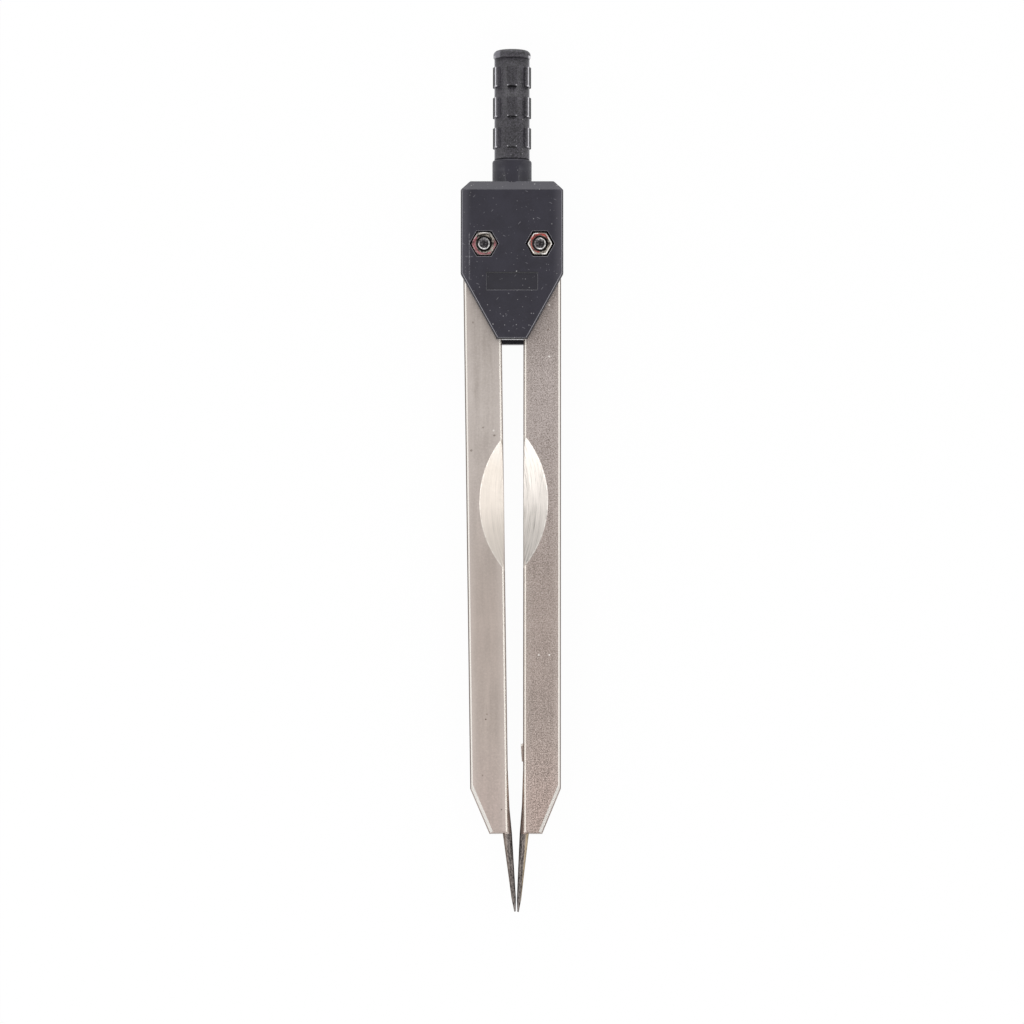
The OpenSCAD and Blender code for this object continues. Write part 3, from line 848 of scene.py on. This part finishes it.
# %% Milled scallop
def milled_metal(finish, look, point, x, y):
    """The scallop's colour, where it lies and its arcs: thin dark lines where a tooth dug in, a painted
    slope of light along it, and a painted highlight in patches along its rim."""
    # The cutter stood beyond the inner edge, and its teeth left flatter arcs than its own edge
    across = x - (LEG_INNER + SCALLOP_R - SCALLOP_REACH)
    along = y + look.scallop_drop
    radius = (across * across + along * along) ** 0.5
    cut = 1 - radius.ramp(SCALLOP_R - 0.03, SCALLOP_R + 0.03)
    path = ((across - PATH_EXTRA) * (across - PATH_EXTRA) + along * along) ** 0.5
    arcs = finish.grain(finish.join(path * 6, along * 0.15, 0), 1, detail=4, roughness=0.7)
    fine_arcs = finish.grain(finish.join(path * 10, along * 0.2, 3), 1, detail=3, roughness=0.7)
    # A painted highlight in patches along the rim of the cut
    rim_highlight_place = finish.grain(point, 2.5)
    rim_highlight = radius.ramp(SCALLOP_R - 0.18, SCALLOP_R - 0.1) * cut * rim_highlight_place.ramp(0.35, 0.6)
    # The arcs, and a painted slope of light along the scallop
    shade = (arcs - 0.5) * look.milled_contrast + along * look.milled_light_slope + 0.5
    colour = finish.mix(shade, look.milled_dark, look.milled_light)
    colour = finish.mix((1 - fine_arcs.ramp(0.38, 0.46)) * look.milled_lines, colour, tint(126, 122, 118))
    return finish.mix(rim_highlight * 0.5, colour, tint(240, 236, 230)), cut, arcs


# %% Satin face
def satin_metal(finish, look, point, x, y, z, inner):
    """The face's colour, its grit and its pits: soft clouds, drawn streaks, fine grit, a few pits and
    scars, a colour that changes from the pivot to the foot, painted shade just below the yoke and a painted
    sheen toward the edges."""
    middle = (LEG_INNER - LEG_OUTER) / 2
    # A painted sheen makes the face paler toward its edges
    edge_sheen_share = inner * (look.inner_edge_sheen - look.outer_edge_sheen) + look.outer_edge_sheen
    rim = (abs(x - middle) / LEG_OUTER).ramp(0.35, 0.9) * edge_sheen_share
    clouds = finish.grain(point, 0.25, detail=3)
    grit = finish.grain(point, look.grit_scale, detail=3, roughness=0.8)
    drawn = finish.grain(
        finish.join(x * 1.5 + clouds, y * 0.09, look.flip), 1, detail=4, roughness=0.6)
    pits = specks(finish, point, 0.45, 0.16, 0.22)
    down = y / -LEG_L
    face = finish.mix(down.ramp(0.25, 0.65), look.top, look.centre)
    face = finish.mix(down.ramp(0.8, 0.97), face, look.foot)
    # Painted shade just below the yoke
    face = finish.mix((1 - down.ramp(0.1, 0.22)) * 0.3, face, look.deep)
    foot_grit = down.ramp(0.75, 0.95) * 0.6 + 1
    wear = (clouds - 0.5) * 0.5 + (drawn - 0.5) * look.streaks
    face = finish.mix((grit - 0.5) * look.grit * foot_grit + wear + 0.33, face, look.deep)
    face = finish.mix((0.46 - grit).ramp(0, 0.12) * foot_grit * (look.grit * 0.08), face, look.pale)
    face = finish.mix(rim, face, look.pale)
    face = finish.mix(pits * 0.6, face, tint(96, 88, 82))
    on_front = (grit.ramp(0.4, 0.55) * 0.4 + 0.5) * z.ramp(0, 0.5)
    for at, size, tone in look.scars:
        face = finish.mix(spot(x, y, at, size) * on_front, face, tone)
    return face, grit, pits


# %% Leg metal
def leg_metal(node, look):
    finish = Finish(node + "_satin", Metallic=1, Specular_Tint=EDGE_TINT)
    point = finish.place(PIVOTS[node], math.radians(look.lean) * look.flip, look.flip)
    x, y, z = finish.split(point)
    facing, to_grip = finish.facing()
    inner = x.ramp(1.5, 2)
    milled, cut, arcs = milled_metal(finish, look, point, x, y)
    face, grit, pits = satin_metal(finish, look, point, x, y, z, inner)

    # The bevels are polished and a painted highlight makes them brighter, the inner ones most; the bottom
    # one lies in the foot's own colour, and the taper is painted a paler grey as a highlight
    downward = to_grip * -1
    above_foot = 1 - downward.ramp(0.6, 0.69)
    bevel = facing.ramp(0.35, 0.6) * (1 - facing.ramp(0.8, 0.95)) * (1 - cut) * above_foot
    side = (1 - facing.ramp(0.2, 0.35)) * above_foot
    taper = downward.ramp(0.12, 0.2) * above_foot * (1 - facing.ramp(0.9, 0.98)) * (1 - inner)
    end_face = downward.ramp(0.85, 0.95)

    # The lip over the needle has a tan skin
    lip = x.ramp(LEG_INNER - 0.02, LEG_INNER + 0.02) * (y * -1).ramp(LIP_STARTS, LIP_WHOLE)
    tan = finish.mix(x.ramp(LEG_INNER + 0.02, LEG_INNER + 0.24), tint(236, 218, 204), tint(150, 126, 114))

    colour = finish.mix(cut, face, milled)
    colour = finish.mix(bevel, colour, finish.mix(inner, tint(208, 203, 197), tint(242, 237, 230)))
    # The sides are darker, the inner ones only a little, and painted shade darkens the left leg's outer
    # side further
    colour = finish.mix(side * (0.75 - inner * 0.7), colour, look.deep)
    colour = finish.mix(side * (1 - inner) * look.painted_side_shade, colour, tint(84, 76, 72))
    colour = finish.mix(taper, colour, finish.mix(facing.ramp(0.08, 0.25), face, tint(208, 206, 201)))
    colour = finish.mix(end_face * 0.7, colour, tint(222, 216, 210))
    colour = finish.mix(lip * side, colour, tan)
    height = (grit * look.grit * (1 - cut) * 0.6 - pits) * (1 - bevel) + arcs * cut * 0.6
    finish.set(
        Base_Color=colour,
        Roughness=0.42 + (grit - 0.5) * 0.2 - bevel * 0.14 - cut * 0.06 - end_face * 0.2,
        Normal=finish.bump(height, 0.012),
    )
    dress(node, finish)
    print(node, "has its satin, bevels and scallop")


leg_metal("left_leg", left_look)
leg_metal("right_leg", right_look)

# %% [markdown]
# ## Needles
# The needles are turned from tool steel and left dark. Grinding the long cone leaves streaks that run to
# the point, and the outer flank carries a painted warm reflection, a straw gold. The streaks are noise
# stretched along the needle, so the pattern is turned to the needle's own lean.

# %% Needle steel
NEEDLE_SIDE = 2.02


def needle_steel(side, look, needle_lean, straw, share):
    """needle_lean is the needle's lean against its leg, in degrees. straw is the colour of a painted warm
    reflection on the outer flank, and share how strongly it shows."""
    finish = Finish(side + "_needle_ground", Metallic=1, Specular_Tint=EDGE_TINT)
    leg_point = finish.place(PIVOTS[side + "_leg"], math.radians(look.lean) * look.flip, look.flip)
    own = finish.node("ShaderNodeMapping", {"vector_type": "TEXTURE"}, {
        "Vector": leg_point, "Location": (NEEDLE_SIDE, -LEG_L, 0),
        "Rotation": (0, 0, math.radians(needle_lean)),
    })
    x, y, z = finish.split(own)
    streaks = finish.grain(finish.join(x * 6, y * 0.5, z * 6), 1, detail=3, roughness=0.7)
    mottle = finish.grain(finish.join(x * 2, y, z * 2), 3.2, detail=3, roughness=0.7)
    ground = streaks * 0.5 + mottle * 0.5
    colour = finish.mix(ground.ramp(0.38, 0.62), tint(30, 28, 28), tint(132, 124, 120))
    # A painted warm reflection on the outer flank
    warm_reflection = (x * -1).ramp(0.12, 0.36) * ground.ramp(0.34, 0.52)
    colour = finish.mix(warm_reflection * share, colour, straw)
    finish.set(
        Base_Color=colour,
        Roughness=0.3 + mottle * 0.25,
        Normal=finish.bump(streaks + mottle * 0.5, 0.01),
    )
    dress(side + "_needle", finish)
    print(side + "_needle is ground and straw-tinted")


needle_steel("left", left_look, 4.8, tint(158, 142, 130), 0.35)
needle_steel("right", right_look, 4.5, tint(186, 168, 140), 0.8)

# %% [markdown]
# ## Pivots
# Each leg turns on a screw, put in from the back, where its slotted head lies, and locked with a small hex
# nut sunk in the front wall. The maker has dabbed red paint over the thread so that the nut can't work
# loose, and it has partly worn off. The nuts get rounded corners and turning marks, a painted highlight on
# their rims and painted shade round the thread and on their corners. Each screw gets a hollow end with a
# worn rim, bright on one side with a painted highlight, painted glints and painted shade at the root of
# its thread, and the last turns of that thread, which a Geometry Nodes tree sweeps along a spiral.

# %% Nut steel
THREAD_EDGE = 1.02


def sector(x, y, middle, spread, wear_and_sheen):
    """A sector of a turned part, from its middle angle and half its spread, with a ragged edge; it lays out
    patches of worn paint and of painted highlight.
    """
    turn = math.radians(middle)
    ahead = x * math.cos(turn) + y * math.sin(turn)
    aside = y * math.cos(turn) - x * math.sin(turn)
    away = abs(aside.math("ARCTAN2", aside, ahead)) / math.radians(spread)
    return 1 - (away + (wear_and_sheen - 0.5) * 1.6).ramp(0.8, 1.15)


def nut_steel(name, centre, flat_r, paint, dabs, shine):
    """A machined nut: rings on its face, painted shade round its thread and on its cut corners, and a
    painted highlight at its rim. flat_r is the size of the worn hexagon, from the axis to a flat."""
    finish = Finish(name, Metallic=1)
    point = finish.place(centre)
    x, y = finish.split(point)[:2]
    radius = (x * x + y * y) ** 0.5
    dirt = finish.grain(point, 2.6, detail=4, roughness=0.7)
    fine = finish.grain(point, 8, detail=3)
    around = finish.join(radius * 4.5, x / radius * 1.2, y / radius * 1.2)
    rings = finish.grain(around, 1, detail=3, roughness=0.7)
    hexagon = (abs(x) * math.cos(math.pi / 6) + abs(y) * 0.5).most(abs(y))
    turned = (rings * 0.65 + fine * 0.35).ramp(0.43, 0.57)
    colour = finish.mix(turned, tint(44, 40, 38), tint(170, 162, 152))

    # Patches of paint, each with its middle angle, half its spread, and its inner and outer radius
    dab = 0
    for middle, spread, start, end in dabs:
        patch = sector(x, y, middle, spread, dirt) * radius.ramp(start, start + 0.06)
        patch = patch * (1 - radius.ramp(end - 0.06, end)) * fine.ramp(0.36, 0.46)
        dab = patch.most(dab)
    colour = finish.mix(dab * 0.9, colour, finish.mix(dirt.ramp(0.35, 0.65), paint, tint(96, 54, 54)))

    # Painted highlight: the rim shines where it faces a lamp. Painted shade: the ring round the thread and
    # the corners are dark
    lit = 0
    for middle, spread in shine:
        lit = sector(x, y, middle, spread, fine).most(lit)
    outer = hexagon.ramp(flat_r - 0.14, flat_r - 0.09) * (1 - hexagon.ramp(flat_r - 0.02, flat_r + 0.02))
    colour = finish.mix(outer * (lit * 0.8 + 0.15), colour, tint(236, 232, 228))
    thread_shade = 1 - radius.ramp(THREAD_EDGE, THREAD_EDGE + 0.12)
    colour = finish.mix(thread_shade * 0.95, colour, tint(22, 20, 20))
    colour = finish.mix(hexagon.ramp(flat_r, flat_r + 0.05) * 0.9, colour, tint(20, 18, 18))
    finish.set(
        Base_Color=colour,
        Metallic=1 - dab * 0.9,
        Roughness=0.32 + fine * 0.25 + dab * 0.15,
        Normal=finish.bump(dirt + rings * 0.6, 0.02),
    )
    return finish


# %% Screw steel
def screw_steel(name, centre, glint_angle, glint):
    """The screw's end: a dull dish with painted glints, a worn rim with a painted highlight on one side,
    and painted shade at the root of the thread. The slotted head at the back is cleaner, with a worn edge."""
    finish = Finish(name, Metallic=1)
    point = finish.place(centre)
    x, y, z = finish.split(point)
    radius = (x * x + y * y) ** 0.5
    dirt = finish.grain(point, 3, detail=4, roughness=0.7)
    fine = finish.grain(point, 9)
    colour = finish.mix((dirt * 0.7 + fine * 0.3).ramp(0.42, 0.58), tint(30, 29, 31), tint(104, 101, 103))
    # Painted glints
    glints = strokes(finish, finish.join(x, y * 3, z), glint_angle + 40, 2.4, 0.12, 0.4)
    colour = finish.mix(glints * 0.8, colour, tint(180, 178, 178))
    # The worn rim, with a painted highlight on the side toward glint_angle
    wear_and_sheen = radius.ramp(0.6, 0.68) * (1 - radius.ramp(0.74, 0.8))
    bright_side = sector(x, y, glint_angle, 110, dirt) * 0.8 + 0.2
    bright_side = bright_side * (dirt * 0.4 + fine * 0.6).ramp(0.38, 0.52)
    colour = finish.mix(wear_and_sheen * bright_side, colour, glint)
    # Painted shade at the root of the thread
    colour = finish.mix(radius.ramp(0.82, 0.86) * 0.7, colour, tint(34, 32, 33))
    head = finish.mix((dirt * 0.5 + fine * 0.5).ramp(0.35, 0.65), tint(96, 94, 96), tint(150, 147, 148))
    head = finish.mix(radius.ramp(1.35, 1.5) * fine.ramp(0.35, 0.6), head, tint(190, 188, 188))
    colour = finish.mix(z.ramp(-2, -1), head, colour)
    finish.set(
        Base_Color=colour,
        Roughness=0.3 + fine * 0.25,
        Normal=finish.bump(dirt + fine * 0.5, 0.02),
    )
    return finish


# %% Both pivots
def nut_and_screw(side, flat_r, paint, dabs, shine, glint_angle, glint):
    """Dresses one pivot, and gives the middle of the screw's end and the screw's finish."""
    nut_low, nut_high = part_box(side + "_nut")
    centre = (nut_low + nut_high) / 2
    steel = nut_steel(side + "_nut_steel", centre, flat_r, paint, dabs, shine)
    nut = new_piece(side + "_hex_nut", whole_faces(side + "_nut"), steel)
    adopt(round_edges(nut, NUT_ROUND), "yoke", "nut_steel", side + "_nut")
    end_steel = screw_steel(side + "_screw_steel", centre, glint_angle, glint)
    dress(side + "_screw", end_steel)
    return Vector((centre.x, centre.y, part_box(side + "_screw")[1].z)), end_steel


left_end, left_steel = nut_and_screw(
    "left", 1.5, tint(170, 84, 98),
    dabs=[(185, 45, 1.1, 1.6), (235, 40, 1.2, 1.6), (-5, 25, 1.3, 1.7), (-75, 25, 1.3, 1.6)],
    shine=[(95, 50)], glint_angle=-80, glint=tint(226, 224, 222))
right_end, right_steel = nut_and_screw(
    "right", 1.41, tint(196, 62, 48),
    dabs=[(190, 70, 0.94, 1.26), (75, 40, 1.1, 1.45), (140, 25, 1.0, 1.5)],
    shine=[(0, 55), (120, 20), (195, 40), (-62, 20)], glint_angle=-20, glint=tint(232, 230, 228))

# %% Screw ends
THREAD_R = 0.86
THREAD_TURNS, THREAD_PITCH, THREAD_CREST = 1.6, 0.3, 0.05
DISH_R, DISH_TOP = 0.64, 0.07
END_SIDES = 48
dish_profile = [(0, 0.015), (0.3, 0.016), (0.5, 0.03), (DISH_R, DISH_TOP)]
rim_profile = [
    (DISH_R, DISH_TOP), (0.69, 0.095), (0.75, 0.095), (0.81, 0.05), (0.84, -0.02), (0.85, -0.3),
    (0.6, -0.3), (0.6, 0.04), (DISH_R, DISH_TOP),
]


def upright(mesh, origin):
    """Stands a shape turned about +Y on +Z at a place."""
    mesh.transform(Matrix.Translation(origin) @ Matrix.Rotation(math.radians(90), 4, "X"))
    return mesh


def screw_end(side, end, steel):
    """The dished end of the screw and the thread round it."""
    dish = upright(lathe(dish_profile, Vector(), END_SIDES), end)
    adopt(new_piece(side + "_screw_dish", dish, steel), "yoke", "screw_steel")
    rim = upright(lathe(rim_profile, Vector(), END_SIDES), end)
    ring = new_piece(side + "_screw_rim", rim, steel)

    thread = Recipe(side + "_thread", turns=THREAD_TURNS, pitch=THREAD_PITCH * MM,
                    crest=THREAD_CREST * MM, radius=THREAD_R * MM)
    spiral = thread.node("GeometryNodeCurveSpiral", inputs={
        "Resolution": 40, "Rotations": thread.given["turns"],
        "Start Radius": thread.given["radius"], "End Radius": thread.given["radius"],
        "Height": thread.given["turns"] * thread.given["pitch"],
    })
    round_wire = thread.node("GeometryNodeCurvePrimitiveCircle", inputs={
        "Resolution": 6, "Radius": thread.given["crest"]})
    swept = thread.node("GeometryNodeCurveToMesh", inputs={
        "Curve": spiral, "Profile Curve": round_wire, "Fill Caps": True})
    start = end - Vector((0, 0, (THREAD_TURNS * THREAD_PITCH + THREAD_CREST) * MM))
    set_in = thread.node("GeometryNodeTransform", inputs={
        "Geometry": swept, "Translation": tuple(start)})
    together = thread.node("GeometryNodeJoinGeometry")
    for shape in (set_in, thread.given["Geometry"]):
        thread.tree.links.new(shape.socket, together.socket.node.inputs[0])
    thread.serve(together, steel)
    adopt(thread.cook(ring), "yoke", "screw_steel")


screw_end("left", left_end, left_steel)
screw_end("right", right_end, right_steel)

# %% [markdown]
# The four friction washers are hidden between the legs and the walls until someone looks in from the
# side. They are stamped brass, rubbed in rings by the leg that turns on them.

# %% Washer brass
def washer_brass(side):
    corner_low, corner_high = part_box("front_" + side + "_washer")
    finish = Finish(side + "_washer_brass", Metallic=1)
    point = finish.place((corner_low + corner_high) / 2)
    x, y = finish.split(point)[:2]
    radius = (x * x + y * y) ** 0.5
    rubbed = finish.grain(finish.join(radius * 9, 0, 0), 1)
    stain = finish.grain(point, 1.2, detail=3)
    colour = finish.mix(rubbed.ramp(0.3, 0.7), tint(186, 150, 88), tint(222, 192, 128))
    colour = finish.mix(stain.ramp(0.5, 0.8) * 0.5, colour, tint(120, 88, 52))
    finish.set(
        Base_Color=colour,
        Roughness=0.28 + stain * 0.2,
        Normal=finish.bump(rubbed, 0.008),
    )
    for wall in ("front_", "rear_"):
        dress(wall + side + "_washer", finish)
    print(side, "washers are brass")


washer_brass("left")
washer_brass("right")
